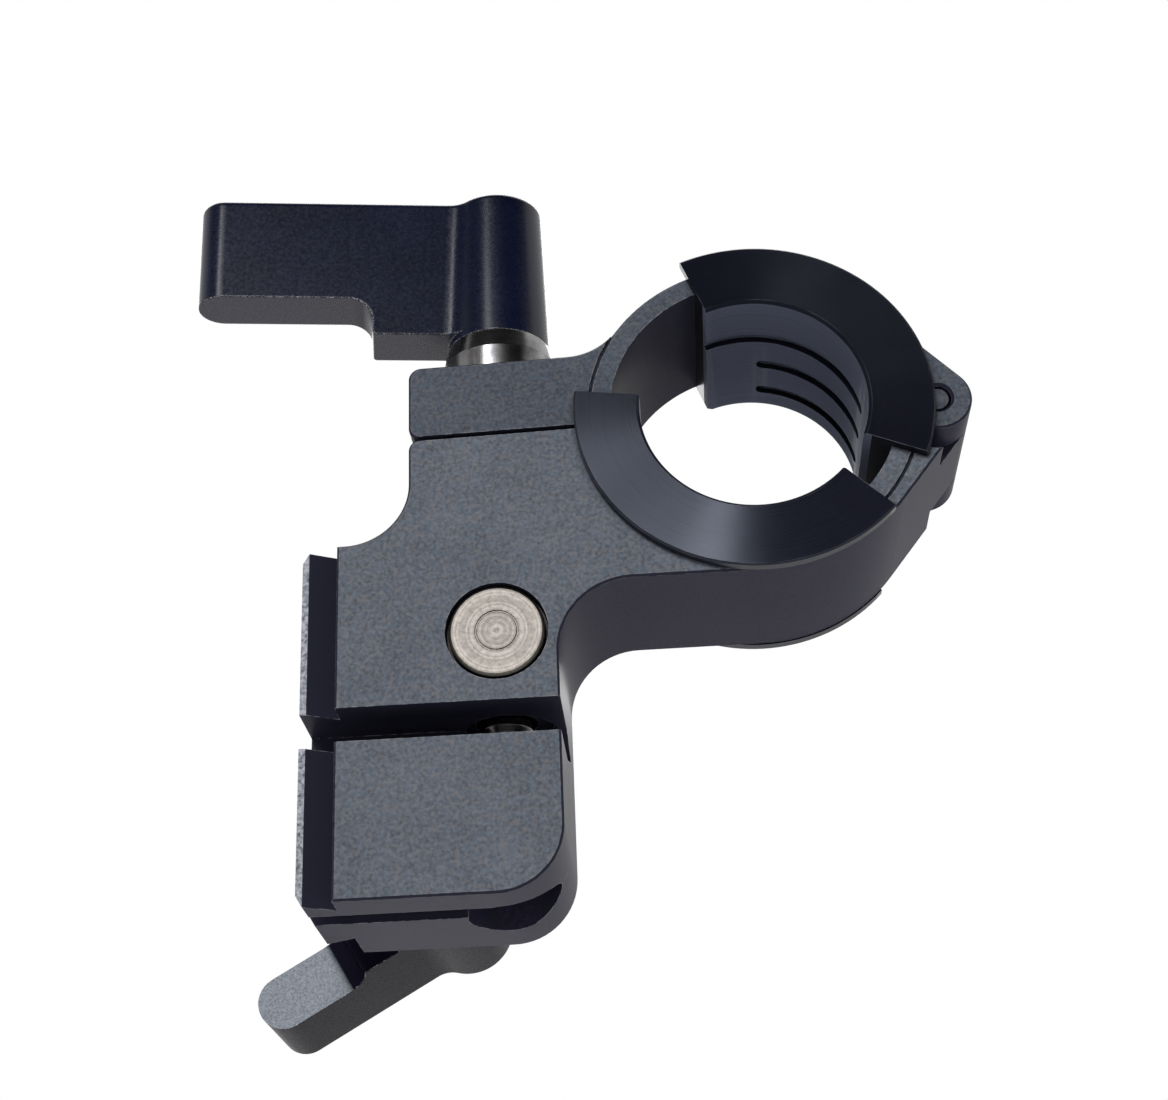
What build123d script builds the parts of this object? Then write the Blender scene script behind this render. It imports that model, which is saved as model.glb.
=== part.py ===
from build123d import *
from math import asin, atan2, cos, degrees, pi, radians, sin, sqrt
import os

# Hinged tube clamp with a split dovetail tongue and two lifting clamp levers. Millimetres.
# It is drawn on its front face: X right, Y up, Z out of the face along the tube axis, with the
# origin on that axis midway between the front and back faces. The last lines stand it up, so
# that +Z is up and the front faces -Y.

# --- tube bore, liners and ring ---
depth = 21.0                 # body, front face to back face
tube_radius = 12.5           # inside the liners
seat_radius = 15.75          # bore of the body and the cap, where the liners sit
liner_clearance = 0.05       # liner in its seat
flange_radius = 19.7
flange_thickness = 1.2
flange_edge = 0.2            # chamfer on the front flange's rim
liner_chamfer = 0.35         # both ends of the bore
liner_corner = 1.0           # back left corner of the upper liner
upper_liner_start = -22.5    # degrees round from +X
upper_liner_end = 111.0
lower_liner_start = 172.5
lower_liner_end = 316.0
groove_width = 1.7           # the three grip grooves in the upper liner
groove_depth = 0.7
groove_pitch = 5.9
first_groove = 6.6           # front face to the first groove's middle
groove_start = 12.0          # degrees, right-hand end of the grooves
short_groove_end = 80.0      # degrees, left-hand end of the second and third
body_ring_radius = 19.6
cap_ring_radius = 18.2
scribe_radius = 18.05        # fine turned line on the ring faces
scribe_width = 0.42
scribe_depth = 0.45

# --- hinge and split ---
hinge_x = 20.05
hinge_y = -0.35
split_tilt = 1.2             # degrees, the split rises to the right and runs through the hinge
split_gap = 0.56             # sawn after the edges were chamfered
knuckle_radius = 3.75
knuckle_clearance = 0.4      # round the knuckles
knuckle_side_gap = 0.3       # between the cap's knuckles and the body's
pocket_radius = 6.0          # body cut away round the cap's knuckles
end_knuckle = 4.5            # thickness of each cap knuckle
pin_radius = 1.5
pin_clearance = 0.05         # in the body's knuckle
pin_countersink = 0.35

# --- ear and body outline ---
ear_left = -38.0
ear_height = 8.7
ear_corner = 1.4
ear_root_fillet = 7.0
block_left = -45.75
block_right = -22.25
block_top = -14.0
block_bottom = -53.1
shoulder_fillet = 7.0        # hollow corner at the left
throat_fillet = 8.0          # hollow corner under the ring
block_corner = 7.0           # bottom right
outline_chamfer = 0.25

# --- dovetail tongue ---
tongue_left = -49.7
tongue_land = 0.7            # flat beside the flank
tongue_front = 1.6           # front face to the front land
tongue_width = 14.9          # over the two lands
tongue_angle = 60.0          # degrees
tongue_end_chamfer = 1.2

# --- split jaw of the tongue ---
slit_top = -32.6
slit_bottom = -36.3
slit_depth = 16.0            # front face to the slit's point on the right wall
jaw_thickness = 5.5
slot_width = 3.3
relief_x = -28.2             # bore that leaves the thin bending wall
relief_radius = 4.9
relief_rise = 1.0            # bore's top above the slit
flexure_depth = 9.9          # front face to where the wall bends
flexure_gap = 0.08           # between the jaw and the body there

# --- clamp screw on the ear ---
clamp_x = -28.7
seat_height = 7.45           # spot face on top of the ear
seat_relief = 0.9            # spot face beyond the washer
washer_radius = 6.6
washer_thickness = 1.0
stud_radius = 2.9            # plain, at the thread's outside
stud_clearance = 0.05        # in the barrel nut and the bush
ear_hole_radius = 3.7
stud_hole_radius = 3.4
stud_tip = -33.2
stud_tip_chamfer = 0.6
nut_y = -24.9
nut_radius = 5.42
nut_clearance = 0.05
nut_end_radius = 5.12
nut_end_length = 1.3
nut_ring_radius = 2.1        # turned ring on the nut's ends
nut_ring_width = 0.22

# --- clamp levers, both made the same way ---
hub_radius_low = 5.95
hub_radius_top = 5.4
hub_height = 19.3
hub_edge = 0.8
arm_thickness = 6.05
arm_foot = 0.9              # hub bottom to the arm's lower step
arm_step_radius = 3.0        # as far as the step is high enough for it
arm_edge = 0.45
neck_fillet = 3.2
collar_radius = 6.6
collar_cone = 2.4
spline_teeth = 20
spline_outer = 4.1
spline_inner = 3.75
spline_clearance = 0.06
spline_length = 3.2          # a handle lifts a little further than this to be set at a new angle
boss_radius = 3.5
boss_height = 7.0
web_low = 8.0                # web inside the hub that the spring pushes on
web_top = 9.2
retainer_shank = 2.0
retainer_clearance = 0.3     # in the handle's web
retainer_head_radius = 3.5
retainer_head_top = 18.0
retainer_head_height = 1.9
retainer_hex = 2.0           # hexagon socket across corners, half
retainer_grip = 3.0          # shank inside the insert
spring_pocket_radius = 3.8
spring_wire = 0.36
spring_radius = 2.95
spring_turns = 3.5
stud_grip = 2.5              # stud inside the insert, above the collar

top_arm_length = 35.2
top_arm_step = 14.8
top_tip_low = 5.75
top_swing = 8.0              # degrees, arm turned towards the viewer
top_hub_bottom = 14.7

low_lever_x = -37.0
low_lever_y = -44.7
low_arm_length = 25.3
low_arm_step = 13.0
low_tip_low = 4.5
low_swing = 209.5            # degrees round from +X
low_hub_gap = 5.6            # body's back face to the hub
low_collar_gap = 0.6         # body's back face to the collar, for tightening
bush_radius = 4.0
bush_length = 8.0
foot_radius = 2.6            # swivel foot on the screw's tip, against the jaw
foot_thickness = 1.4
foot_nib = 1.4               # radius of the screw's tip inside the foot
foot_socket = 0.7
foot_play = 0.2              # round the screw's tip, so that the foot can tilt with the jaw
fixed_clearance = 0.02       # round pieces that are pressed or bonded in

front = depth / 2
back = -depth / 2
jaw_back = front - jaw_thickness
slot_back = jaw_back - slot_width
flexure_z = front - flexure_depth
hinge = (hinge_x, hinge_y)


def slab(sketch, low, high):
    """A flat outline made solid between two heights along Z."""
    return extrude(Pos(0, 0, low) * sketch, high - low)


def rod(x, y, radius, low, high):
    """A round bar along Z."""
    return Pos(x, y, low) * Cylinder(radius, high - low, align=(Align.CENTER, Align.CENTER, Align.MIN))


def post(x, z, radius, low, high):
    """A round bar along Y."""
    return Pos(x, low, z) * Rot(-90, 0, 0) * Cylinder(radius, high - low, align=(Align.CENTER, Align.CENTER, Align.MIN))


def split_line(x, offset=0.0):
    """Height of the split at x, with an offset square to it."""
    return hinge_y + (x - hinge_x) * sin(radians(split_tilt)) / cos(radians(split_tilt)) + offset


def rectangle(left, low, right, high):
    """A rectangle between two corners."""
    return Pos((left + right) / 2, (low + high) / 2) * Rectangle(right - left, high - low)


def half_plane(above, offset):
    """A large rectangle on one side of the split."""
    size = 140
    side = 1 if above else -1
    return Pos(*hinge) * Rot(0, 0, split_tilt) * Pos(0, offset + side * size / 2) * Rectangle(2 * size, size)


def saw_cut():
    """The split's width on both sides of its line, but not through the hinge."""
    length = 280
    band = Pos(*hinge) * Rot(0, 0, split_tilt) * Rectangle(length, split_gap)
    band -= Pos(*hinge) * Circle(knuckle_radius + knuckle_clearance)
    return slab(band, back - 1, front + 1)


def sector(radius, start, end):
    """A pie slice, degrees counter-clockwise from +X."""
    span = radians(end - start)
    steps = max(3, int(span / radians(20)) + 1)
    far = radius / cos(span / steps / 2)
    points = [(0, 0)]
    for i in range(steps + 1):
        angle = radians(start) + span * i / steps
        points.append((far * cos(angle), far * sin(angle)))
    return make_face(Polyline(*points, close=True))


def tangent_web(ring_radius, below):
    """Fill between the ring and the knuckle, along their common outer tangent."""
    distance = sqrt(hinge_x ** 2 + hinge_y ** 2)
    toward = atan2(hinge_y, hinge_x)
    lean = asin((ring_radius - knuckle_radius) / distance)
    side = -1 if below else 1
    normal = toward + side * (pi / 2 - lean)
    ring_point = (ring_radius * cos(normal), ring_radius * sin(normal))
    knuckle_point = (hinge_x + knuckle_radius * cos(normal), hinge_y + knuckle_radius * sin(normal))
    return make_face(Polyline((0, 0), ring_point, knuckle_point, hinge, close=True))


def corner(sketch, x, y, radius):
    """Round the corner of a sketch nearest to a point."""
    nearest = sketch.vertices().sort_by_distance((x, y, 0))[0]
    return fillet(nearest, radius)


def layers(end, middle, thickness):
    """A plate whose outline differs between its two end layers and its middle."""
    plate = slab(end, back, back + thickness) + slab(end, front - thickness, front)
    return plate + slab(middle, back + thickness, front - thickness)


def eased(solid, *heights):
    """Chamfer every straight-through edge of the flat faces at the given heights."""
    rims = ShapeList()
    for height in heights:
        rims += solid.faces().filter_by(Plane.XY).sort_by_distance((0, 0, height))[0].outer_wire().edges()
    return chamfer(rims, outline_chamfer)


def scribe(ring_face, inward):
    """Fine turned line to cut in a ring face."""
    line = Circle(scribe_radius + scribe_width / 2) - Circle(scribe_radius - scribe_width / 2)
    low, high = sorted((ring_face, ring_face + inward * scribe_depth))
    return slab(line, low, high)


def tongue_outline():
    """Dovetail section, X across and depth from the front face as the second coordinate."""
    rise = tongue_left + tongue_land
    taper = (block_left - rise) / sin(radians(tongue_angle)) * cos(radians(tongue_angle))
    low, high = tongue_front, tongue_front + tongue_width
    root = block_left + 1.0
    return [(tongue_left, low), (rise, low), (block_left, low + taper), (root, low + taper),
            (root, high - taper), (block_left, high - taper), (rise, high), (tongue_left, high)]


def make_tongue(low, high):
    """Dovetail between two heights along Y, its left corners cut back at both ends."""
    section = Plane(origin=(0, high, 0), x_dir=(1, 0, 0), z_dir=(0, -1, 0))
    points = [(x, front - into) for x, into in tongue_outline()]
    solid = extrude(section * make_face(Polyline(*points, close=True)), high - low)
    for end, side in ((high, -1), (low, 1)):
        tip = end + side * tongue_end_chamfer
        cut = make_face(Polyline((tongue_left - 1, end - side), (tongue_left - 1, tip), (tongue_left, tip),
                                 (tongue_left + 0.7, end), (tongue_left + 0.7, end - side), close=True))
        solid -= slab(cut, back - 1, front + 1)
    return solid


# ---------------------------------------------------------------- main body
body_outline = make_face(Polyline(
    (block_left, block_bottom), (block_right, block_bottom), (block_right, -body_ring_radius),
    (0, -body_ring_radius), (0, 1), (ear_left, 1), (ear_left, block_top), (block_left, block_top), close=True))
body_outline += Circle(body_ring_radius) + tangent_web(body_ring_radius, True) + Pos(*hinge) * Circle(knuckle_radius)
body_outline -= half_plane(True, 0)
body_outline = corner(body_outline, block_right, block_bottom, block_corner)
body_outline = corner(body_outline, block_right, -body_ring_radius, throat_fillet)
body_outline = corner(body_outline, ear_left, block_top, shoulder_fillet)
body_outline = corner(body_outline, ear_left, split_line(ear_left, 0), ear_corner)

knuckle = Pos(*hinge) * Circle(knuckle_radius)
middle = end_knuckle + knuckle_side_gap
body_end = body_outline - Pos(*hinge) * Circle(pocket_radius)
block = layers(body_end, body_outline + knuckle, middle)
block = eased(block, front, back)
block -= saw_cut()
block += make_tongue(block_bottom, block_top)
block -= rod(0, 0, seat_radius, back - 1, front + 1)
block -= rod(*hinge, pin_radius + pin_clearance, back - 1, front + 1)
block -= scribe(front, -1)

# barrel nut bore, clamp screw hole, and the relief bore below them
relief_top = slit_top + relief_rise
block -= rod(clamp_x, nut_y, nut_radius + nut_clearance, back - 1, front + 1)
block -= post(clamp_x, 0, stud_hole_radius, relief_top, 5)
block -= post(relief_x, flexure_z, relief_radius, block_bottom - 1, relief_top)

# the slit under the upper block, running to a point in the right wall
left_end, right_end = tongue_left - 1, block_right + 1
block -= slab(rectangle(left_end, slit_bottom, right_end, slit_top), slot_back, front + 1)
block -= slab(rectangle(relief_x, slit_bottom, right_end, slit_top), flexure_z, front + 1)
side_view = Plane(origin=(relief_x, 0, 0), x_dir=(0, 1, 0), z_dir=(1, 0, 0))
point = make_face(Polyline((slit_bottom, flexure_z), ((slit_top + slit_bottom) / 2, front - slit_depth),
                           (slit_top, flexure_z), close=True))
block -= extrude(side_view * point, right_end - relief_x)

# the slot behind the jaw, then the jaw taken off at the bending wall
block -= slab(rectangle(left_end, block_bottom - 1, relief_x, slit_top), slot_back, jaw_back)
jaw_zone = slab(rectangle(left_end, block_bottom - 1, right_end, slit_bottom), jaw_back, front + 1)
jaw_zone += slab(rectangle(relief_x, block_bottom - 1, right_end, slit_bottom), flexure_z, front + 1)
main_body = block - jaw_zone
tongue_jaw = block & jaw_zone
tongue_jaw -= slab(rectangle(relief_x, block_bottom - 1, right_end, slit_bottom), flexure_z, flexure_z + flexure_gap)

# lower clamp screw: threaded bush in the back half, clearance beyond it
main_body -= rod(low_lever_x, low_lever_y, bush_radius + fixed_clearance, back - 1, back + bush_length)
main_body -= rod(low_lever_x, low_lever_y, stud_hole_radius, back, slot_back + 1)

# ---------------------------------------------------------------- cap jaw
ear_top = split_gap / 2 + ear_height
cap_outline = Pos(*hinge) * Rot(0, 0, split_tilt) * rectangle(ear_left - hinge_x - 5, -1, 0, ear_top)
cap_outline &= rectangle(ear_left, -20, 0, 20)
cap_outline += Circle(cap_ring_radius) + tangent_web(cap_ring_radius, False) + Pos(*hinge) * Circle(knuckle_radius)
cap_outline -= half_plane(False, 0)
root_y = split_line(-16, ear_top)
cap_outline = corner(cap_outline, -sqrt(cap_ring_radius ** 2 - root_y ** 2), root_y, ear_root_fillet)
cap_outline = corner(cap_outline, ear_left, split_line(ear_left, ear_top), ear_corner)
cap_outline = corner(cap_outline, ear_left, split_line(ear_left, 0), ear_corner)

cap_middle = cap_outline - Pos(*hinge) * Circle(knuckle_radius + knuckle_clearance)
cap_jaw = layers(cap_outline + knuckle, cap_middle, end_knuckle)
cap_jaw = eased(cap_jaw, front, back)
cap_jaw -= saw_cut()
cap_jaw -= rod(0, 0, seat_radius, back - 1, front + 1)
cap_jaw -= rod(*hinge, pin_radius + fixed_clearance, back - 1, front + 1)
cap_jaw -= Pos(hinge_x, hinge_y, front) * Cone(pin_radius, pin_radius + pin_countersink, pin_countersink,
                                              align=(Align.CENTER, Align.CENTER, Align.MAX))
cap_jaw -= scribe(front, -1)
cap_jaw -= post(clamp_x, 0, ear_hole_radius, -6, 12)
cap_jaw -= post(clamp_x, 0, washer_radius + seat_relief, seat_height, seat_height + 6)

hinge_pin = rod(*hinge, pin_radius, back + pin_countersink, front - pin_countersink)
hinge_pin = chamfer(hinge_pin.edges(), 0.25)


# ---------------------------------------------------------------- liners
def make_liner(start, end):
    """Half-shell reducer with a flange at each end."""
    sleeve_radius = seat_radius - liner_clearance
    low, high = back - flange_thickness, front + flange_thickness
    shell = rod(0, 0, sleeve_radius, low, high)
    shell += rod(0, 0, flange_radius, front, high) + rod(0, 0, flange_radius, low, back)
    shell = chamfer(shell.edges().filter_by(GeomType.CIRCLE).filter_by(lambda e: e.radius > flange_radius - 0.01)
                    .sort_by(Axis.Z)[-1:], flange_edge)
    shell -= rod(0, 0, tube_radius, low - 1, high + 1)
    bevel = Cone(tube_radius + liner_chamfer, tube_radius, liner_chamfer, align=(Align.CENTER, Align.CENTER, Align.MIN))
    shell -= Pos(0, 0, low) * bevel + Pos(0, 0, high) * Rot(180, 0, 0) * bevel
    return shell & slab(sector(flange_radius + 2, start, end), low - 1, high + 1)


def grip_groove(middle, start, end):
    """A groove round the inside of a liner, its ends rounded by the cutter."""
    low, high = middle - groove_width / 2, middle + groove_width / 2
    ring = rod(0, 0, tube_radius + groove_depth, low, high) - rod(0, 0, tube_radius - 1, low, high)
    groove = ring & slab(sector(tube_radius + 3, start, end), low, high)
    for angle in (start, end):
        cutter = Plane(origin=(0, 0, middle), x_dir=(0, 0, 1), z_dir=(cos(radians(angle)), sin(radians(angle)), 0))
        groove += cutter * Cylinder(groove_width / 2, tube_radius + groove_depth,
                                    align=(Align.CENTER, Align.CENTER, Align.MIN))
    return groove


upper_liner = make_liner(upper_liner_start, upper_liner_end)
for i in range(3):
    groove_end = upper_liner_end + 10 if i == 0 else short_groove_end
    upper_liner -= grip_groove(front - first_groove - i * groove_pitch, groove_start, groove_end)
end_angle = radians(upper_liner_end)
end_view = Plane(origin=(0, 0, 0), x_dir=(-sin(end_angle), cos(end_angle), 0), z_dir=(cos(end_angle), sin(end_angle), 0))
rim = back - flange_thickness
corner_cut = make_face(Polyline((-liner_corner - 1, rim - 1), (1, rim + liner_corner + 1), (1, rim - 1), close=True))
upper_liner -= extrude(end_view * corner_cut, flange_radius + 2)
lower_liner = make_liner(lower_liner_start, lower_liner_end)

# ---------------------------------------------------------------- barrel nut
barrel_nut = rod(clamp_x, nut_y, nut_radius, back + nut_end_length, front - nut_end_length)
barrel_nut += rod(clamp_x, nut_y, nut_end_radius, back, front)
for face, side in ((front, -1), (back, 1)):
    rims = barrel_nut.edges().filter_by(GeomType.CIRCLE).filter_by(lambda e: abs(e.radius - nut_end_radius) < 0.01)
    rims = rims.sort_by_distance((clamp_x, nut_y, face))[:1]
    barrel_nut = chamfer(rims, 0.3)
    low, high = sorted((face, face + side * 0.12))
    barrel_nut -= rod(clamp_x, nut_y, nut_ring_radius + nut_ring_width, low, high) - \
        rod(clamp_x, nut_y, nut_ring_radius, low, high)
barrel_nut -= post(clamp_x, 0, stud_radius + stud_clearance, nut_y - 8, nut_y + 8)


# ---------------------------------------------------------------- levers
def upright(radius, low, high):
    """A round bar on the lever's own axis."""
    return Pos(0, 0, low) * Cylinder(radius, high - low, align=(Align.CENTER, Align.CENTER, Align.MIN))


def star(outer, inner):
    """Spline section."""
    points = []
    for i in range(2 * spline_teeth):
        radius = outer if i % 2 else inner
        angle = pi * i / spline_teeth
        points.append((radius * cos(angle), radius * sin(angle)))
    return make_face(Polyline(*points, close=True))


def make_handle(length, step, tip_low):
    """Cast handle: upright hub, arm along +X, stepped underneath."""
    hub = Cone(hub_radius_low, hub_radius_top, hub_height, align=(Align.CENTER, Align.CENTER, Align.MIN))
    side = Plane.XZ
    profile = make_face(Polyline((0, arm_foot), (step, arm_foot), (step, tip_low), (length, tip_low),
                                 (length, hub_height), (0, hub_height), close=True))
    wall = tip_low - arm_foot
    profile = corner(profile, step, tip_low, min(arm_step_radius, wall - arm_edge - 0.1))
    profile = corner(profile, step, arm_foot, arm_edge)
    arm = extrude(side * profile, arm_thickness / 2, both=True)
    tips = arm.edges().filter_by(Axis.Z).sort_by(Axis.X)[-2:]
    arm = fillet(tips, arm_thickness / 2 - 0.05)
    handle = hub + arm
    necks = handle.edges().filter_by(lambda e: 3 < e.center().X < hub_radius_low and e.length > 12
                                     and abs(e.center().Y) > arm_thickness / 2 - 0.3)
    handle = fillet(necks, neck_fillet)
    top_rim = handle.faces().sort_by(Axis.Z)[-1].outer_wire().edges()
    handle = fillet(top_rim, hub_edge)
    handle -= extrude(star(spline_outer + spline_clearance, spline_inner + spline_clearance), spline_length)
    handle -= upright(spline_inner + spline_clearance, 0, web_low)
    handle -= upright(retainer_shank + retainer_clearance, 0, web_top + 1)
    handle -= upright(spring_pocket_radius, web_top, hub_height + 1)
    return handle


def make_insert(collar_height):
    """Steel insert: collar under the hub, spline inside it."""
    cylinder_top = -collar_cone
    collar = upright(collar_radius, -collar_height, cylinder_top)
    collar += Pos(0, 0, cylinder_top) * Cone(collar_radius, hub_radius_low, collar_cone,
                                            align=(Align.CENTER, Align.CENTER, Align.MIN))
    insert = collar + extrude(star(spline_outer, spline_inner), spline_length)
    insert += upright(boss_radius, 0, boss_height)
    insert -= upright(stud_radius + fixed_clearance, -collar_height - 1, stud_grip)
    insert -= upright(retainer_shank + fixed_clearance, boss_height - retainer_grip, boss_height + 1)
    return insert


def make_retainer():
    """Screw that keeps the handle on."""
    head_low = retainer_head_top - retainer_head_height
    screw = upright(retainer_shank, boss_height - retainer_grip, head_low)
    screw += upright(retainer_head_radius, head_low, retainer_head_top)
    rim = screw.edges().filter_by(GeomType.CIRCLE).sort_by(Axis.Z)[-1:]
    screw = chamfer(rim, 0.3)
    screw -= Pos(0, 0, retainer_head_top - 1.2) * extrude(RegularPolygon(retainer_hex, 6), 1.2)
    return screw


def make_spring():
    """Coil between the hub's web and the retaining screw's head."""
    low = web_top + spring_wire
    high = retainer_head_top - retainer_head_height - spring_wire
    path = Pos(0, 0, low) * Helix(pitch=(high - low) / spring_turns, height=high - low, radius=spring_radius)
    section = Plane(origin=path @ 0, z_dir=path % 0) * Circle(spring_wire)
    return sweep(section, path, is_frenet=True)


def make_stud(below, tip_chamfer):
    """Threaded stud, from inside the insert down to its tip."""
    bar = upright(stud_radius, -below, stud_grip)
    return chamfer(bar.edges().sort_by(Axis.Z)[:1], tip_chamfer)


top_place = Plane(origin=(clamp_x, top_hub_bottom, 0),
                  x_dir=(-cos(radians(top_swing)), 0, sin(radians(top_swing))), z_dir=(0, 1, 0))
top_collar = top_hub_bottom - seat_height - washer_thickness
top_handle = top_place * make_handle(top_arm_length, top_arm_step, top_tip_low)
top_insert = top_place * make_insert(top_collar)
top_retainer = top_place * make_retainer()
top_spring = top_place * make_spring()
top_stud = top_place * make_stud(top_hub_bottom - stud_tip, stud_tip_chamfer)
top_washer = post(clamp_x, 0, washer_radius, seat_height, seat_height + washer_thickness)
top_washer -= post(clamp_x, 0, stud_radius + 0.3, seat_height - 1, seat_height + washer_thickness + 1)

low_collar = low_hub_gap - low_collar_gap
low_place = Plane(origin=(low_lever_x, low_lever_y, back - low_hub_gap),
                  x_dir=(cos(radians(low_swing)), sin(radians(low_swing)), 0), z_dir=(0, 0, -1))
lower_handle = low_place * make_handle(low_arm_length, low_arm_step, low_tip_low)
lower_insert = low_place * make_insert(low_collar)
lower_retainer = low_place * make_retainer()
lower_spring = low_place * make_spring()
foot_back = jaw_back - foot_thickness
stud_length = low_hub_gap + foot_back - back
lower_stud = low_place * (make_stud(stud_length, stud_tip_chamfer) +
                          upright(foot_nib, -stud_length - foot_socket, 0))
swivel_foot = rod(low_lever_x, low_lever_y, foot_radius, foot_back, jaw_back)
swivel_foot = chamfer(swivel_foot.edges(), 0.2)
swivel_foot -= rod(low_lever_x, low_lever_y, foot_nib + foot_play, foot_back - 1, foot_back + foot_socket)
back_bush = rod(low_lever_x, low_lever_y, bush_radius, back, back + bush_length)
back_bush -= rod(low_lever_x, low_lever_y, stud_radius + stud_clearance, back - 1, back + bush_length + 1)

parts = {
    "main_body": main_body, "cap_jaw": cap_jaw, "tongue_jaw": tongue_jaw, "hinge_pin": hinge_pin,
    "upper_liner": upper_liner, "lower_liner": lower_liner, "barrel_nut": barrel_nut,
    "top_handle": top_handle, "top_insert": top_insert, "top_retainer": top_retainer,
    "top_spring": top_spring, "top_stud": top_stud, "top_washer": top_washer,
    "lower_handle": lower_handle, "lower_insert": lower_insert, "lower_retainer": lower_retainer,
    "lower_spring": lower_spring, "lower_stud": lower_stud, "swivel_foot": swivel_foot, "back_bush": back_bush,
}
stand = Rot(90, 0, 0)
os.makedirs("parts", exist_ok=True)
for name, drawn in parts.items():
    shape = stand * drawn
    export_step(shape, f"parts/{name}.step")
    size = shape.bounding_box().size
    print(f"{name:16s} {len(shape.solids())} solid  {size.X:6.2f} {size.Y:6.2f} {size.Z:6.2f} mm")
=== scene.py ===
import math
import bpy
import bmesh
from mathutils import Matrix, Vector


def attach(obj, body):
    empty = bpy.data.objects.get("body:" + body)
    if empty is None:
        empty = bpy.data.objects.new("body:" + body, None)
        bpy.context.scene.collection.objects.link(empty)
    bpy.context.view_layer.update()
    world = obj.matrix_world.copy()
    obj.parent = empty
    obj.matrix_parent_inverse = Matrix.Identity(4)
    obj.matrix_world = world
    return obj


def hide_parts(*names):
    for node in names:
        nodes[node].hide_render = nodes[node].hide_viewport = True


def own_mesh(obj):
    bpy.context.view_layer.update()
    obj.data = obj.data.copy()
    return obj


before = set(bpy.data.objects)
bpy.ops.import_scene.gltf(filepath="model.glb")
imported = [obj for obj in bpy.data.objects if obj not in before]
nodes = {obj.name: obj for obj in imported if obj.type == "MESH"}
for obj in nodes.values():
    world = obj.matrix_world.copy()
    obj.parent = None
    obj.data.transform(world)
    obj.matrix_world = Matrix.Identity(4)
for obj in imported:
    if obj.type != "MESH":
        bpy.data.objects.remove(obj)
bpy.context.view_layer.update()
print("frame loaded,", len(nodes), "nodes")

noiseSpan = {"From Min": 0.3, "From Max": 0.7}   # nearly all of a noise texture's values lie here
raySamples = 8                                   # of each bevel and occlusion node


def toLinear(hexColour):
    # sRGB hex such as "5a6064" to the linear colour that a shader takes
    values = [int(hexColour[i:i + 2], 16) / 255 for i in (0, 2, 4)]
    linear = [v / 12.92 if v <= 0.04045 else ((v + 0.055) / 1.055) ** 2.4 for v in values]
    return (*linear, 1.0)


def addNode(tree, kind, settings=None, inputs=None):
    # a node with its settings, each input either linked or set
    node = tree.nodes.new(kind)
    for key, value in (settings or {}).items():
        setattr(node, key, value)
    for key, value in (inputs or {}).items():
        if isinstance(value, bpy.types.NodeSocket):
            tree.links.new(value, node.inputs[key])
        else:
            node.inputs[key].default_value = value
    return node


def newMaterial(name):
    material = bpy.data.materials.new(name)
    material.use_nodes = True
    material.node_tree.nodes.clear()
    return material, material.node_tree


def newObject(name, data):
    thing = bpy.data.objects.new(name, data)
    bpy.context.collection.objects.link(thing)
    return thing


def rubEdges(tree, colour, normal, patches, v):
    # sharp edges rub bright, in patches
    rounded = addNode(tree, "ShaderNodeBevel", {"samples": raySamples},
                      {"Radius": v["wearMm"] / 1000}).outputs[0]
    facing = addNode(tree, "ShaderNodeVectorMath", {"operation": "DOT_PRODUCT"},
                     {0: rounded, 1: normal}).outputs["Value"]
    edge = addNode(tree, "ShaderNodeMapRange", None,
                   {"Value": facing, "From Min": 1.0, "From Max": v["wearFrom"],
                    "To Max": v["wearShare"]}).outputs[0]
    low, high = v["patchSpan"]
    patchy = addNode(tree, "ShaderNodeMapRange", None,
                     {"Value": patches, "From Min": low, "From Max": high}).outputs[0]
    worn = addNode(tree, "ShaderNodeMath", {"operation": "MULTIPLY"},
                   {0: edge, 1: patchy}).outputs[0]
    return addNode(tree, "ShaderNodeMix", {"data_type": "RGBA"},
                   {0: worn, 6: colour, 7: toLinear(v["wear"])}).outputs[2]


def paintShadeInRecesses(tree, colour, v):
    # painted shade: the colour is darkened where ambient occlusion finds slots, bores and gaps
    # close by
    clear = addNode(tree, "ShaderNodeAmbientOcclusion", {"samples": raySamples},
                    {"Distance": v["recessMm"] / 1000}).outputs["AO"]
    wide, narrow = v["recessSpan"]
    deep = addNode(tree, "ShaderNodeMapRange", None,
                   {"Value": clear, "From Min": wide, "From Max": narrow,
                    "To Max": v["recessShare"]}).outputs[0]
    return addNode(tree, "ShaderNodeMix", {"data_type": "RGBA"},
                   {0: deep, 6: colour, 7: toLinear(v["recessShade"])}).outputs[2]


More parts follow.
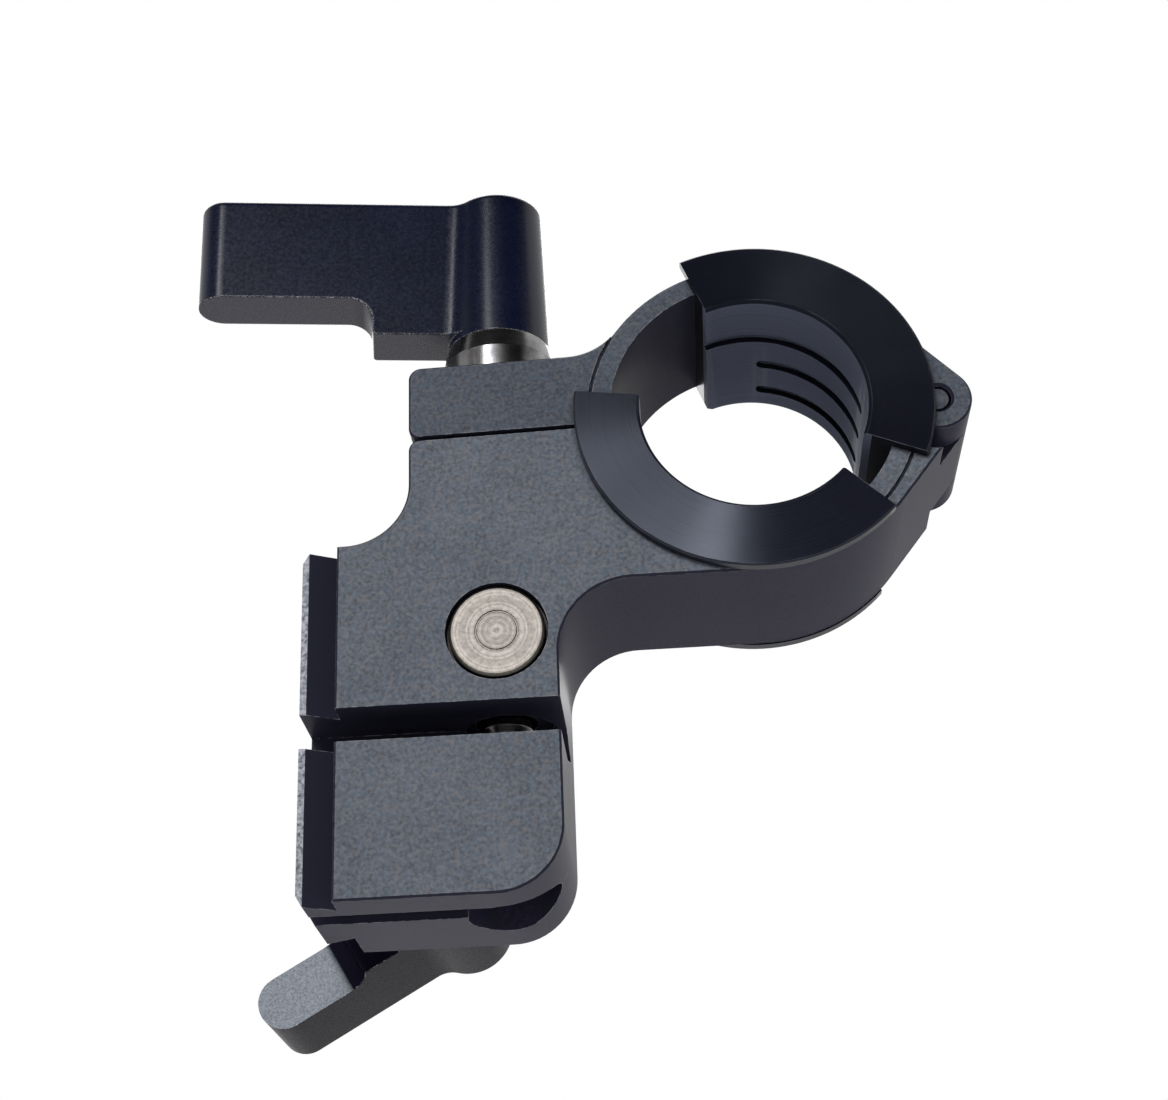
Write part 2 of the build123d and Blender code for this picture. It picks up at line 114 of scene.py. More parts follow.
# Anodised aluminium, bead blasted and dyed dark grey: a matt face with fine light and dark
# specks. The dyed oxide hides the metal, so it isn't metallic. The specks are about 0.1 mm on
# the real finish and are drawn 0.4 mm wide so that they show. The walls were milled after
# blasting, so they are smoother and darker.
blasted = {
    "finish": "blastedAluminiumBody",
    "speckMm": 0.4, "tintMm": 0.8, "cloudMm": 9.0, "cloudShare": 0.14,
    "faceLow": "363a40", "faceHigh": "51555c", "faceSpan": (0.9, 0.98), "faceFromMm": 8.5,
    "warmSpeck": "56524e", "warmSpan": (0.52, 0.68),
    "coolSpeck": "4a525b", "coolSpan": (0.48, 0.32), "tintShare": 0.32,
    "wallLow": "1a1925", "wallHigh": "222130", "wallSmoother": 0.12,
    "cut": "1c1c26", "cutLean": 0.78, "cutSpread": 0.11,
    "rubbed": "8b8c92", "rubbedFromMm": -47.8,
    # painted shade in slots, bores and gaps, found by ambient occlusion
    "recessShade": "1c1d26", "recessMm": 9.0, "recessSpan": (0.72, 0.36), "recessShare": 1.0,
    "wear": "9ea1a6", "wearMm": 0.12, "wearFrom": 0.8, "wearShare": 0.55, "patchSpan": (0.38, 0.6),
    "metallic": 0.0, "specular": 0.03, "roughness": (0.5, 0.64),
    "bumpMm": 0.03, "bumpStrength": 0.35, "edgeMm": 0.06,
}
# the cap comes from a darker dye bath
capBlasted = dict(blasted, finish="blastedAluminiumCap", faceLow="2b2f36", faceHigh="43474e",
                  warmSpeck="484542", coolSpeck="3e464f")


def makeBlasted(v):
    material, tree = newMaterial(v["finish"])
    place = addNode(tree, "ShaderNodeTexCoord").outputs["Object"]
    normal = addNode(tree, "ShaderNodeNewGeometry").outputs["Normal"]
    speck = addNode(tree, "ShaderNodeTexNoise", None,
                    {"Vector": place, "Scale": 1000 / v["speckMm"],
                     "Detail": 2.0, "Roughness": 0.6}).outputs["Fac"]
    tint = addNode(tree, "ShaderNodeTexNoise", None,
                   {"Vector": place, "Scale": 1000 / v["tintMm"], "Detail": 1.0}).outputs["Fac"]
    cloud = addNode(tree, "ShaderNodeTexNoise", None,
                    {"Vector": place, "Scale": 1000 / v["cloudMm"], "Detail": 3.0}).outputs["Fac"]
    speckTone = addNode(tree, "ShaderNodeMapRange", None, {"Value": speck, **noiseSpan}).outputs[0]
    cloudTone = addNode(tree, "ShaderNodeMapRange", None,
                        {"Value": cloud, **noiseSpan, "To Min": -v["cloudShare"],
                         "To Max": v["cloudShare"]}).outputs[0]
    tone = addNode(tree, "ShaderNodeMath", {"operation": "ADD", "use_clamp": True},
                   {0: speckTone, 1: cloudTone}).outputs[0]
    face = addNode(tree, "ShaderNodeMix", {"data_type": "RGBA"},
                   {0: tone, 6: toLinear(v["faceLow"]), 7: toLinear(v["faceHigh"])}).outputs[2]
    for speckName, spanName in (("warmSpeck", "warmSpan"), ("coolSpeck", "coolSpan")):
        low, high = v[spanName]
        share = addNode(tree, "ShaderNodeMapRange", None,
                        {"Value": tint, "From Min": low, "From Max": high,
                         "To Max": v["tintShare"]}).outputs[0]
        face = addNode(tree, "ShaderNodeMix", {"data_type": "RGBA"},
                       {0: share, 6: face, 7: toLinear(v[speckName])}).outputs[2]
    wall = addNode(tree, "ShaderNodeMix", {"data_type": "RGBA"},
                   {0: tone, 6: toLinear(v["wallLow"]), 7: toLinear(v["wallHigh"])}).outputs[2]
    # a blasted face looks to the front or back and lies at the outside of the block
    across = addNode(tree, "ShaderNodeSeparateXYZ", None, {"Vector": normal}).outputs["Y"]
    across = addNode(tree, "ShaderNodeMath", {"operation": "ABSOLUTE"}, {0: across}).outputs[0]
    low, high = v["faceSpan"]
    isFace = addNode(tree, "ShaderNodeMapRange", None,
                     {"Value": across, "From Min": low, "From Max": high}).outputs[0]
    where = addNode(tree, "ShaderNodeSeparateXYZ", None, {"Vector": place}).outputs
    depth = addNode(tree, "ShaderNodeMath", {"operation": "ABSOLUTE"}, {0: where["Y"]}).outputs[0]
    outside = addNode(tree, "ShaderNodeMath", {"operation": "GREATER_THAN"},
                      {0: depth, 1: v["faceFromMm"] / 1000}).outputs[0]
    isFace = addNode(tree, "ShaderNodeMath", {"operation": "MULTIPLY"},
                     {0: isFace, 1: outside}).outputs[0]
    colour = addNode(tree, "ShaderNodeMix", {"data_type": "RGBA"},
                     {0: isFace, 6: wall, 7: face}).outputs[2]
    # the chamfers round both faces and the dovetail's flanks were cut after blasting
    cut = addNode(tree, "ShaderNodeMath", {"operation": "COMPARE"},
                  {0: across, 1: v["cutLean"], 2: v["cutSpread"]}).outputs[0]
    colour = addNode(tree, "ShaderNodeMix", {"data_type": "RGBA"},
                     {0: cut, 6: colour, 7: toLinear(v["cut"])}).outputs[2]
    # the tongue's front strip is rubbed by the slot that it slides in
    rubbed = addNode(tree, "ShaderNodeMath", {"operation": "LESS_THAN"},
                     {0: where["X"], 1: v["rubbedFromMm"] / 1000}).outputs[0]
    for share in (isFace, speckTone):
        rubbed = addNode(tree, "ShaderNodeMath", {"operation": "MULTIPLY"},
                         {0: rubbed, 1: share}).outputs[0]
    colour = addNode(tree, "ShaderNodeMix", {"data_type": "RGBA"},
                     {0: rubbed, 6: colour, 7: toLinear(v["rubbed"])}).outputs[2]
    # painted shade in slots, bores and gaps
    colour = paintShadeInRecesses(tree, colour, v)
    colour = rubEdges(tree, colour, normal, tint, v)
    low, high = v["roughness"]
    faceRough = addNode(tree, "ShaderNodeMapRange", None,
                        {"Value": speck, **noiseSpan, "To Min": low, "To Max": high}).outputs[0]
    rough = addNode(tree, "ShaderNodeMapRange", None,
                    {"Value": isFace, "To Min": low - v["wallSmoother"],
                     "To Max": faceRough}).outputs[0]
    soft = addNode(tree, "ShaderNodeBevel", {"samples": raySamples},
                   {"Radius": v["edgeMm"] / 1000}).outputs[0]
    bump = addNode(tree, "ShaderNodeBump", None,
                   {"Strength": v["bumpStrength"], "Distance": v["bumpMm"] / 1000,
                    "Height": speck, "Normal": soft}).outputs[0]
    shader = addNode(tree, "ShaderNodeBsdfPrincipled", None,
                     {"Base Color": colour, "Roughness": rough, "Metallic": v["metallic"],
                      "Specular IOR Level": v["specular"], "Normal": bump}).outputs[0]
    addNode(tree, "ShaderNodeOutputMaterial", None, {"Surface": shader})
    return material


# Anodised aluminium as it left the lathe, dyed black: rings round the tube's axis that stretch
# each highlight along the radius. The tool marks are 0.05 mm apart and are drawn at 0.15 mm so
# that they show.
turned = {
    "finish": "turnedAluminiumLower",
    "ringMm": 0.15, "stainMm": 4.0, "low": "0a0b12", "high": "14151e",
    "boreLow": "3e424f", "boreHigh": "484c5a", "boreMm": 13.4, "boreRoughness": 0.6, "rimFrom": 0.6,
    "wear": "8f9298", "wearMm": 0.1, "wearFrom": 0.8, "wearShare": 0.4, "patchSpan": (0.42, 0.6),
    "metallic": 0.0, "specular": 0.2, "gloss": "e4edff", "anisotropic": 0.95,
    "roughness": (0.22, 0.26), "bumpMm": 0.003, "bumpStrength": 0.12,
}
# painted shade: a darker, less glossy copy of the same finish for the upper liner
shadedTurnedUpper = dict(turned, finish="turnedAluminiumUpperShaded", specular=0.04,
                   low="08090e", high="0f1018")


def makeTurned(v):
    material, tree = newMaterial(v["finish"])
    place = addNode(tree, "ShaderNodeTexCoord").outputs["Object"]
    normal = addNode(tree, "ShaderNodeNewGeometry").outputs["Normal"]
    where = addNode(tree, "ShaderNodeSeparateXYZ", None, {"Vector": place}).outputs
    flat = addNode(tree, "ShaderNodeCombineXYZ", None,
                   {"X": where["X"], "Z": where["Z"]}).outputs[0]
    radius = addNode(tree, "ShaderNodeVectorMath", {"operation": "LENGTH"},
                     {0: flat}).outputs["Value"]
    turning = addNode(tree, "ShaderNodeCombineXYZ", None, {"X": radius, "Y": where["Y"]}).outputs[0]
    rings = addNode(tree, "ShaderNodeTexNoise", None,
                    {"Vector": turning, "Scale": 1000 / v["ringMm"], "Detail": 2.0}).outputs["Fac"]
    stain = addNode(tree, "ShaderNodeTexNoise", None,
                    {"Vector": place, "Scale": 1000 / v["stainMm"], "Detail": 4.0}).outputs["Fac"]
    tone = addNode(tree, "ShaderNodeMapRange", None, {"Value": rings, **noiseSpan}).outputs[0]
    colour = addNode(tree, "ShaderNodeMix", {"data_type": "RGBA"},
                     {0: tone, 6: toLinear(v["low"]), 7: toLinear(v["high"])}).outputs[2]
    # the bore was blasted, so it is duller and paler than the flanges
    bore = addNode(tree, "ShaderNodeMix", {"data_type": "RGBA"},
                   {0: tone, 6: toLinear(v["boreLow"]), 7: toLinear(v["boreHigh"])}).outputs[2]
    isFlange = addNode(tree, "ShaderNodeMath", {"operation": "GREATER_THAN"},
                       {0: radius, 1: v["boreMm"] / 1000}).outputs[0]
    across = addNode(tree, "ShaderNodeSeparateXYZ", None, {"Vector": normal}).outputs["Y"]
    across = addNode(tree, "ShaderNodeMath", {"operation": "ABSOLUTE"}, {0: across}).outputs[0]
    across = addNode(tree, "ShaderNodeMath", {"operation": "GREATER_THAN"},
                     {0: across, 1: v["rimFrom"]}).outputs[0]
    isFlange = addNode(tree, "ShaderNodeMath", {"operation": "MAXIMUM"},
                       {0: isFlange, 1: across}).outputs[0]
    colour = addNode(tree, "ShaderNodeMix", {"data_type": "RGBA"},
                     {0: isFlange, 6: bore, 7: colour}).outputs[2]
    colour = rubEdges(tree, colour, normal, stain, v)
    low, high = v["roughness"]
    rough = addNode(tree, "ShaderNodeMapRange", None,
                    {"Value": stain, **noiseSpan, "To Min": low, "To Max": high}).outputs[0]
    rough = addNode(tree, "ShaderNodeMapRange", None,
                    {"Value": isFlange, "To Min": v["boreRoughness"], "To Max": rough}).outputs[0]
    axis = addNode(tree, "ShaderNodeVectorTransform",
                   {"vector_type": "VECTOR", "convert_from": "OBJECT", "convert_to": "WORLD"},
                   {"Vector": flat}).outputs[0]
    axis = addNode(tree, "ShaderNodeVectorMath", {"operation": "NORMALIZE"},
                   {0: axis}).outputs["Vector"]
    bump = addNode(tree, "ShaderNodeBump", None,
                   {"Strength": v["bumpStrength"], "Distance": v["bumpMm"] / 1000,
                    "Height": rings}).outputs[0]
    shader = addNode(tree, "ShaderNodeBsdfPrincipled", None,
                     {"Base Color": colour, "Roughness": rough, "Metallic": v["metallic"],
                      "Specular IOR Level": v["specular"], "Specular Tint": toLinear(v["gloss"]),
                      "Anisotropic": v["anisotropic"], "Tangent": axis, "Normal": bump}).outputs[0]
    addNode(tree, "ShaderNodeOutputMaterial", None, {"Surface": shader})
    return material


# Black powder coat on a zinc casting: faint orange peel, and bare sparkles where the edges were
# tumbled. The peel is 0.4 mm across, as on the real coat. One side of each arm is drawn in a
# lighter, grained tone as painted light; on the lower handle that is the side towards the front,
# from fromMm behind the middle of the body, and the part nearer the body keeps the dark coat as
# painted shadow of the body.
coated = {
    "peelMm": 0.4, "blotchMm": 6.0, "sparkMm": 0.2, "grainMm": 0.26, "litSpan": (0.93, 0.995),
    "wear": "b9bbbe", "wearMm": 0.16, "wearFrom": 0.85, "wearShare": 0.7, "patchSpan": (0.52, 0.62),
    "roughness": (0.22, 0.3), "bumpMm": 0.02, "bumpStrength": 0.15, "edgeMm": 0.3,
}
handles = {
    # painted light: the top handle's underside is drawn lighter
    "top_handle": {"finish": "powderCoatTop", "specular": 0.22,
                   "low": "040716", "high": "080c1d",
                   "litSide": (0.0, 0.0, -1.0), "fromMm": 0.0,
                   "litLow": "161421", "litHigh": "262432"},
    # painted light on the front side of the arm's tip, painted shadow nearer the body; this coat
    # has almost no gloss, as painted shade
    "lower_handle": {"finish": "powderCoatLower", "specular": 0.01,
                     "low": "07060f", "high": "0c0b16",
                     "litSide": (0.0, -1.0, 0.0), "fromMm": 18.5,
                     "litLow": "52565d", "litHigh": "7c8086"},
}


def makeCoated(v):
    material, tree = newMaterial(v["finish"])
    place = addNode(tree, "ShaderNodeTexCoord").outputs["Object"]
    normal = addNode(tree, "ShaderNodeNewGeometry").outputs["Normal"]
    peel = addNode(tree, "ShaderNodeTexNoise", None,
                   {"Vector": place, "Scale": 1000 / v["peelMm"], "Detail": 2.0}).outputs["Fac"]
    blotch = addNode(tree, "ShaderNodeTexNoise", None,
                     {"Vector": place, "Scale": 1000 / v["blotchMm"], "Detail": 3.0}).outputs["Fac"]
    spark = addNode(tree, "ShaderNodeTexNoise", None,
                    {"Vector": place, "Scale": 1000 / v["sparkMm"], "Detail": 2.0}).outputs["Fac"]
    grain = addNode(tree, "ShaderNodeTexNoise", None,
                    {"Vector": place, "Scale": 1000 / v["grainMm"],
                     "Detail": 3.0, "Roughness": 0.7}).outputs["Fac"]
    tone = addNode(tree, "ShaderNodeMapRange", None, {"Value": blotch, **noiseSpan}).outputs[0]
    coat = addNode(tree, "ShaderNodeMix", {"data_type": "RGBA"},
                   {0: tone, 6: toLinear(v["low"]), 7: toLinear(v["high"])}).outputs[2]
    grainTone = addNode(tree, "ShaderNodeMapRange", None, {"Value": grain, **noiseSpan}).outputs[0]
    litCoat = addNode(tree, "ShaderNodeMix", {"data_type": "RGBA"},
                     {0: grainTone, 6: toLinear(v["litLow"]),
                      7: toLinear(v["litHigh"])}).outputs[2]
    # painted light: the chosen side of each arm gets the lighter, grained tone
    isLit = addNode(tree, "ShaderNodeVectorMath", {"operation": "DOT_PRODUCT"},
                       {0: normal, 1: v["litSide"]}).outputs["Value"]
    low, high = v["litSpan"]
    isLit = addNode(tree, "ShaderNodeMapRange", None,
                       {"Value": isLit, "From Min": low, "From Max": high}).outputs[0]
    # painted shadow: nearer the body than fromMm the arm keeps its dark coat
    level = addNode(tree, "ShaderNodeVectorMath", {"operation": "DOT_PRODUCT"},
                    {0: place, 1: v["litSide"]}).outputs["Value"]
    onArm = addNode(tree, "ShaderNodeMath", {"operation": "LESS_THAN"},
                    {0: level, 1: -v["fromMm"] / 1000}).outputs[0]
    isLit = addNode(tree, "ShaderNodeMath", {"operation": "MULTIPLY"},
                       {0: isLit, 1: onArm}).outputs[0]
    colour = addNode(tree, "ShaderNodeMix", {"data_type": "RGBA"},
                     {0: isLit, 6: coat, 7: litCoat}).outputs[2]
    colour = rubEdges(tree, colour, normal, spark, v)
    low, high = v["roughness"]
    rough = addNode(tree, "ShaderNodeMapRange", None,
                    {"Value": peel, **noiseSpan, "To Min": low, "To Max": high}).outputs[0]
    soft = addNode(tree, "ShaderNodeBevel", {"samples": raySamples},
                   {"Radius": v["edgeMm"] / 1000}).outputs[0]
    bump = addNode(tree, "ShaderNodeBump", None,
                   {"Strength": v["bumpStrength"], "Distance": v["bumpMm"] / 1000,
                    "Height": peel, "Normal": soft}).outputs[0]
    shader = addNode(tree, "ShaderNodeBsdfPrincipled", None,
                     {"Base Color": colour, "Roughness": rough,
                      "Specular IOR Level": v["specular"], "Normal": bump}).outputs[0]
    addNode(tree, "ShaderNodeOutputMaterial", None, {"Surface": shader})
    return material


# Steel, turned, faced or drawn, one dictionary for each piece or group: lathe rings round its own
# axis that break up the gloss. The feed is 0.05 mm a turn and is drawn at ringMm so that it shows.
steelBase = {
    # painted shade in the steel's recesses, found by ambient occlusion
    "recessShade": "0c0b0c", "recessMm": 2.0, "recessSpan": (0.7, 0.4), "recessShare": 0.9,
    "metallic": 1.0, "bumpMm": 0.01, "edgeMm": 0.08,
}
steels = {
    "turnedSteelCollar": {     # bright and finely turned
        "nodes": ["top_insert", "top_washer", "top_stud"],
        "centre": (-0.0287, 0.0, 0.0), "axis": "Z",
        "low": "68676a", "high": "8f8d8c", "ringMm": 0.14, "stainMm": 1.4, "bumpStrength": 0.02,
        "roughness": (0.2, 0.24)},
    "facedSteelNut": {         # faced with a coarser cut, dull and slightly brown
        "nodes": ["barrel_nut"], "centre": (-0.0287, 0.0, -0.0249), "axis": "Y",
        "low": "4e4a46", "high": "635f5a", "ringMm": 0.2, "stainMm": 0.45, "bumpStrength": 0.15,
        "roughness": (0.42, 0.52)},
    "turnedSteelBack": {       # turned as the collar, with more wear
        "nodes": ["lower_insert", "lower_stud", "swivel_foot", "back_bush"],
        "centre": (-0.037, 0.0, -0.0447), "axis": "Y",
        "low": "68676a", "high": "8f8d8c", "ringMm": 0.14, "stainMm": 1.4, "bumpStrength": 0.1,
        "roughness": (0.24, 0.34)},
    "blackenedSteel": {        # black oxide on the pin and the screws, with the metal's gloss
        "nodes": ["hinge_pin", "top_retainer", "lower_retainer"],
        "centre": (0.02005, 0.0, -0.00035), "axis": "Y",
        "low": "303238", "high": "484a51", "ringMm": 0.1, "stainMm": 0.8, "bumpStrength": 0.1,
        "roughness": (0.3, 0.42)},
    "drawnSteelWire": {        # bare spring wire
        "nodes": ["top_spring", "lower_spring"], "centre": (-0.0287, 0.0, 0.0), "axis": "Z",
        "low": "606165", "high": "88898c", "ringMm": 0.3, "stainMm": 0.6, "bumpStrength": 0.1,
        "roughness": (0.25, 0.35)},
}


def makeSteel(name, v):
    material, tree = newMaterial(name)
    place = addNode(tree, "ShaderNodeTexCoord").outputs["Object"]
    moved = addNode(tree, "ShaderNodeVectorMath", {"operation": "SUBTRACT"},
                    {0: place, 1: v["centre"]}).outputs["Vector"]
    where = addNode(tree, "ShaderNodeSeparateXYZ", None, {"Vector": moved}).outputs
    second, along = (where["Y"], where["Z"]) if v["axis"] == "Z" else (where["Z"], where["Y"])
    flat = addNode(tree, "ShaderNodeCombineXYZ", None, {"X": where["X"], "Y": second}).outputs[0]
    radius = addNode(tree, "ShaderNodeVectorMath", {"operation": "LENGTH"},
                     {0: flat}).outputs["Value"]
    turning = addNode(tree, "ShaderNodeCombineXYZ", None, {"X": radius, "Y": along}).outputs[0]
    rings = addNode(tree, "ShaderNodeTexNoise", None,
                    {"Vector": turning, "Scale": 1000 / v["ringMm"], "Detail": 2.0}).outputs["Fac"]
    stain = addNode(tree, "ShaderNodeTexNoise", None,
                    {"Vector": place, "Scale": 1000 / v["stainMm"],
                     "Detail": 4.0, "Roughness": 0.65}).outputs["Fac"]
    tone = addNode(tree, "ShaderNodeMapRange", None, {"Value": stain, **noiseSpan}).outputs[0]
    colour = addNode(tree, "ShaderNodeMix", {"data_type": "RGBA"},
                     {0: tone, 6: toLinear(v["low"]), 7: toLinear(v["high"])}).outputs[2]
    # painted shade in recesses
    colour = paintShadeInRecesses(tree, colour, v)
    low, high = v["roughness"]
    rough = addNode(tree, "ShaderNodeMapRange", None,
                    {"Value": rings, **noiseSpan, "To Min": low, "To Max": high}).outputs[0]
    soft = addNode(tree, "ShaderNodeBevel", {"samples": raySamples},
                   {"Radius": v["edgeMm"] / 1000}).outputs[0]
    bump = addNode(tree, "ShaderNodeBump", None,
                   {"Strength": v["bumpStrength"], "Distance": v["bumpMm"] / 1000,
                    "Height": rings, "Normal": soft}).outputs[0]
    shader = addNode(tree, "ShaderNodeBsdfPrincipled", None,
                     {"Base Color": colour, "Roughness": rough, "Metallic": v["metallic"],
                      "Normal": bump}).outputs[0]
    addNode(tree, "ShaderNodeOutputMaterial", None, {"Surface": shader})
    return material


bodyFinish = makeBlasted(blasted)
finishes = {"main_body": bodyFinish, "tongue_jaw": bodyFinish, "cap_jaw": makeBlasted(capBlasted),
            "upper_liner": makeTurned(shadedTurnedUpper), "lower_liner": makeTurned(turned)}
for name, values in handles.items():
    finishes[name] = makeCoated(dict(coated, **values))
for name, values in steels.items():
    steel = makeSteel(name, dict(steelBase, **values))
    finishes.update({node: steel for node in values["nodes"]})
for name, node in nodes.items():
    for holder in node.material_slots:
        holder.material = finishes[name]
print("materials on", len(nodes), "nodes")

# Coil springs inside the two hubs, each made at one length and carried by its screw
springs = {
    "topCoil": {"node": "top_spring", "joint": "top_lift", "body": "top_screw", "axis": "Z",
                "foot": (-0.0287, 0.0, 0.0239), "length": 0.0069, "anchor": (-0.0287, 0.0, 0.0308)},
    "lowerCoil": {"node": "lower_spring", "joint": "lower_lift", "body": "lower_screw", "axis": "Y",
                  "foot": (-0.037, 0.0253, -0.0447), "length": 0.0069,
                  "anchor": (-0.037, 0.0322, -0.0447)},
}
coil = {"radiusMm": 2.95, "wireRadiusMm": 0.33, "turns": 3.5, "stepsPerTurn": 24, "sides": 8,
        "keep": 0.49}


def makeCoil(name, v):
    mesh = bpy.data.meshes.new(name)
    piece = newObject(name, mesh)
    work = bmesh.new()
    wire, radius = coil["wireRadiusMm"] / 1000, coil["radiusMm"] / 1000
    steps = int(coil["turns"] * coil["stepsPerTurn"])
    rings = []
    for i in range(steps + 1):
        turn = 2 * math.pi * coil["turns"] * i / steps
        rise = wire + (v["length"] - 2 * wire) * i / steps
        ring = []
        for side in range(coil["sides"]):
            angle = 2 * math.pi * side / coil["sides"]
            out = radius + wire * math.cos(angle)
            across, second = out * math.cos(turn), out * math.sin(turn)
            along = rise + wire * math.sin(angle)
            offset = (across, second, along) if v["axis"] == "Z" else (across, along, second)
            ring.append(work.verts.new(Vector(v["foot"]) + Vector(offset)))
        rings.append(ring)
    for first, second in zip(rings, rings[1:]):
        for side in range(coil["sides"]):
            after = (side + 1) % coil["sides"]
            work.faces.new((first[side], first[after], second[after], second[side]))
    work.faces.new(rings[0][::-1])
    work.faces.new(rings[-1])
    bmesh.ops.recalc_face_normals(work, faces=work.faces)
    work.to_mesh(mesh)
    work.free()
    mesh.polygons.foreach_set("use_smooth", [True] * len(mesh.polygons))
    mesh.materials.append(finishes[v["node"]])
    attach(piece, v["body"])
    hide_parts(v["node"])
    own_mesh(piece)


for name, values in springs.items():
    makeCoil(name, values)
print("springs made")

# Pale floor of painted board under the part, out of the main view
floorSettings = {"height": -0.17, "half": 1.5, "low": "f2f1ef", "high": "f7f6f5", "grainMm": 40.0,
                 "roughness": 0.8, "specular": 0.1}
floorMesh = bpy.data.meshes.new("floor")
half, height = floorSettings["half"], floorSettings["height"]
floorMesh.from_pydata([(-half, -half, height), (half, -half, height), (half, half, height),
                       (-half, half, height)], [], [(0, 1, 2, 3)])
floor = newObject("floor", floorMesh)
floorMaterial, floorTree = newMaterial("paintedBoard")
floorPlace = addNode(floorTree, "ShaderNodeTexCoord").outputs["Object"]
floorGrain = addNode(floorTree, "ShaderNodeTexNoise", None,
                     {"Vector": floorPlace,
                      "Scale": 1000 / floorSettings["grainMm"]}).outputs["Fac"]
floorColour = addNode(floorTree, "ShaderNodeMix", {"data_type": "RGBA"},
                      {0: floorGrain, 6: toLinear(floorSettings["low"]),
                       7: toLinear(floorSettings["high"])}).outputs[2]
floorShader = addNode(floorTree, "ShaderNodeBsdfPrincipled", None,
                      {"Base Color": floorColour, "Roughness": floorSettings["roughness"],
                       "Specular IOR Level": floorSettings["specular"]}).outputs[0]
addNode(floorTree, "ShaderNodeOutputMaterial", None, {"Surface": floorShader})
floorMesh.materials.append(floorMaterial)

# Camera in front of the part and below it, looking up
cameraSettings = {
    "lens": 63.28, "sensor": 36, "clipStart": 0.01, "place": (-0.01027, -0.2084, -0.10898),
    "right": (0.99743, 0.06189, -0.03622), "up": (0.05901, -0.42153, 0.90488),
    "back": (0.04073, -0.90469, -0.4241),
}
cameraData = bpy.data.cameras.new("camera")
cameraData.sensor_width = cameraSettings["sensor"]
cameraData.lens = cameraSettings["lens"]
cameraData.clip_start = cameraSettings["clipStart"]
camera = newObject("camera", cameraData)
cameraAxes = Matrix([cameraSettings[name] for name in ("right", "up", "back")]).transposed()
camera.matrix_world = Matrix.Translation(cameraSettings["place"]) @ cameraAxes.to_4x4()
bpy.context.scene.camera = camera

# Soft lamps: name, direction to the lamp in degrees (round from the front to the right, and up),
# distance and size in metres, and power in watts
lamps = {
    "frontSoftbox": {"round": -1.5, "up": 14, "distance": 0.8, "size": (0.06, 0.06),
                     "watts": 2.1, "colour": "fbfcff"},
    "fillSoftbox": {"round": -7, "up": 16, "distance": 0.8, "size": (0.09, 0.1),
                    "watts": 1.3, "colour": "fbfcff"},
    "farSoftbox": {"round": -11, "up": 22, "distance": 0.8, "size": (0.09, 0.14),
                   "watts": 1.3, "colour": "fbfcff"},
    "nearStrip": {"round": -21, "up": 26, "distance": 0.8, "size": (0.12, 0.28),
                  "watts": 1.9, "colour": "fbfcff"},
    "leftStrip": {"round": -45, "up": 12, "distance": 0.8, "size": (0.08, 0.4),
                  "watts": 0.8, "colour": "ffffff"},
    "topSoftbox": {"round": 170, "up": 72, "distance": 0.8, "size": (0.6, 0.5),
                   "watts": 3.0, "colour": "ffffff"},
    "rightStrip": {"round": 95, "up": 8, "distance": 0.7, "size": (0.12, 0.5),
                   "watts": 0.9, "colour": "ffffff"},
    "backSoftbox": {"round": 185, "up": 35, "distance": 0.9, "size": (0.6, 0.5),
                    "watts": 4.0, "colour": "ffffff"},
}
target = Vector((-0.015, 0.0, -0.01))   # near the part's middle
for name, v in lamps.items():
    data = bpy.data.lights.new(name, "AREA")
    data.shape = "RECTANGLE"
    data.size, data.size_y = v["size"]
    data.energy = v["watts"]
    data.color = toLinear(v["colour"])[:3]
    turn, rise = math.radians(v["round"]), math.radians(v["up"])
    level = math.cos(rise)
    toLamp = Vector((math.sin(turn) * level, -math.cos(turn) * level, math.sin(rise)))
    lamp = newObject(name, data)
    lamp.location = target + toLamp * v["distance"]
    lamp.rotation_euler = toLamp.to_track_quat("Z", "Y").to_euler()

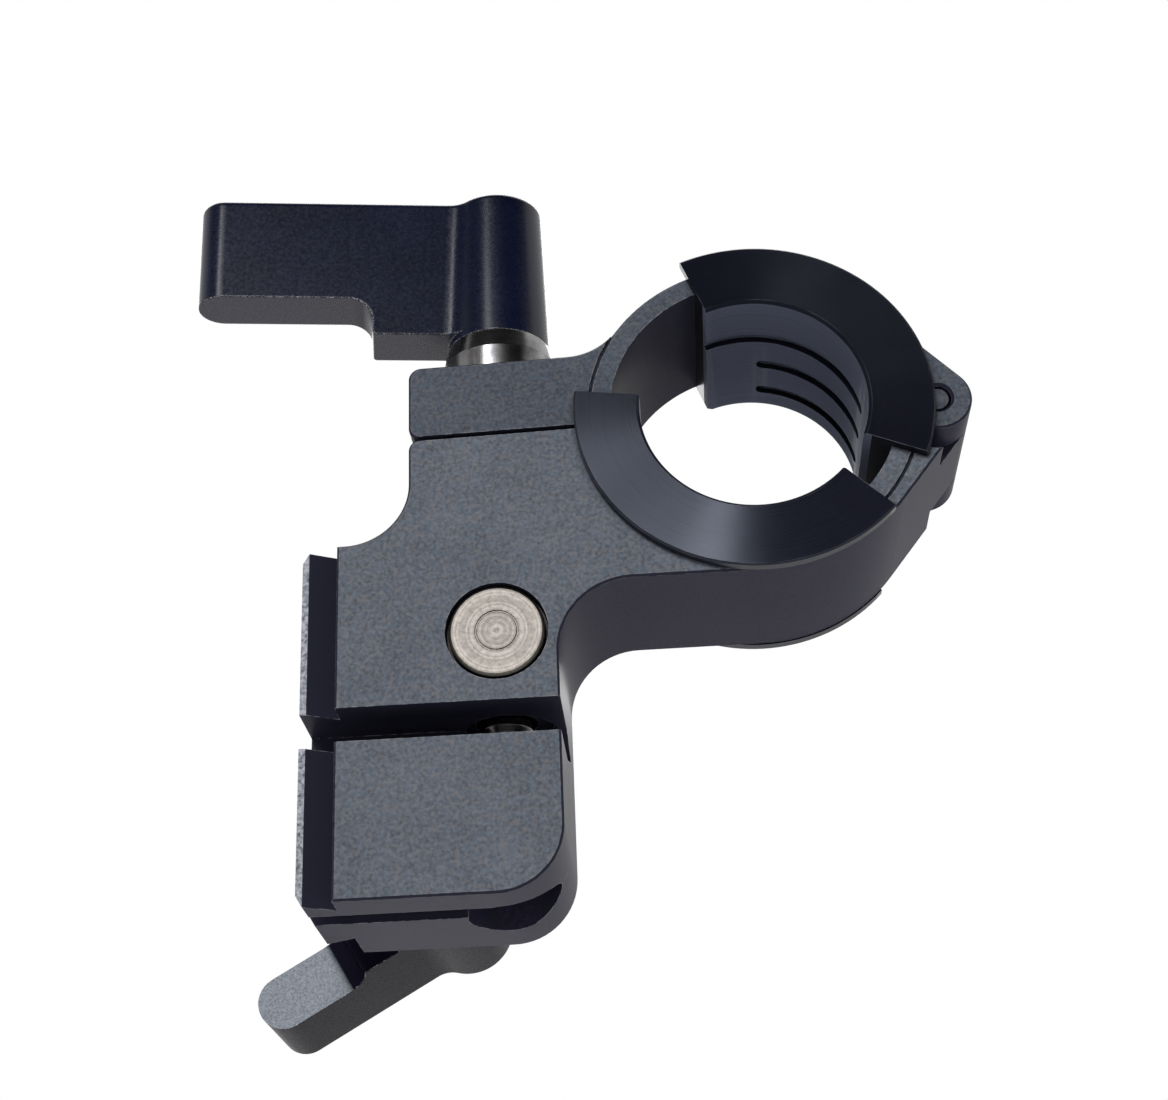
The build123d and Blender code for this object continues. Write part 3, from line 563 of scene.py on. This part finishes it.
# Studio wall and roof of black wool cloth behind the lamps, which only glosses see, so that
# black finishes stay black
wallSettings = {"centre": (0.0, -1.2, 0.45), "half": (1.6, 0.62), "roof": 1.1, "colour": "0b0b0e"}
wallMesh = bpy.data.meshes.new("darkWall")
wide, tall = wallSettings["half"]
roof = wallSettings["roof"]
wallMesh.from_pydata([(-wide, 0, -tall), (wide, 0, -tall), (wide, 0, tall), (-wide, 0, tall),
                      (wide, roof, tall), (-wide, roof, tall)], [], [(0, 1, 2, 3), (3, 2, 4, 5)])
darkWall = newObject("darkWall", wallMesh)
darkWall.location = wallSettings["centre"]
wallMaterial, wallTree = newMaterial("blackMolton")
wallShader = addNode(wallTree, "ShaderNodeBsdfDiffuse", None,
                     {"Color": toLinear(wallSettings["colour"])}).outputs[0]
addNode(wallTree, "ShaderNodeOutputMaterial", None, {"Surface": wallShader})
wallMesh.materials.append(wallMaterial)
darkWall.visible_camera = darkWall.visible_diffuse = False
darkWall.visible_shadow = darkWall.visible_transmission = False

# World: soft grey light on the part, white where the camera, a gloss or glass sees past it
worldSettings = {"colour": "ffffff", "softStrength": 0.42, "whiteStrength": 1.0}
world = bpy.data.worlds.new("studio")
bpy.context.scene.world = world
world.use_nodes = True
worldTree = world.node_tree
worldTree.nodes.clear()
rays = addNode(worldTree, "ShaderNodeLightPath").outputs
worldColour = toLinear(worldSettings["colour"])
soft = addNode(worldTree, "ShaderNodeBackground", None,
               {"Color": worldColour, "Strength": worldSettings["softStrength"]}).outputs[0]
white = addNode(worldTree, "ShaderNodeBackground", None,
                {"Color": worldColour, "Strength": worldSettings["whiteStrength"]}).outputs[0]
seen = rays["Is Camera Ray"]
for kind in ("Is Glossy Ray", "Is Transmission Ray"):
    seen = addNode(worldTree, "ShaderNodeMath", {"operation": "MAXIMUM"},
                   {0: seen, 1: rays[kind]}).outputs[0]
sky = addNode(worldTree, "ShaderNodeMixShader", None, {0: seen, 1: soft, 2: white}).outputs[0]
addNode(worldTree, "ShaderNodeOutputWorld", None, {"Surface": sky})
bpy.context.scene.view_settings.view_transform = "Standard"
print("floor, camera, lamps and world done")
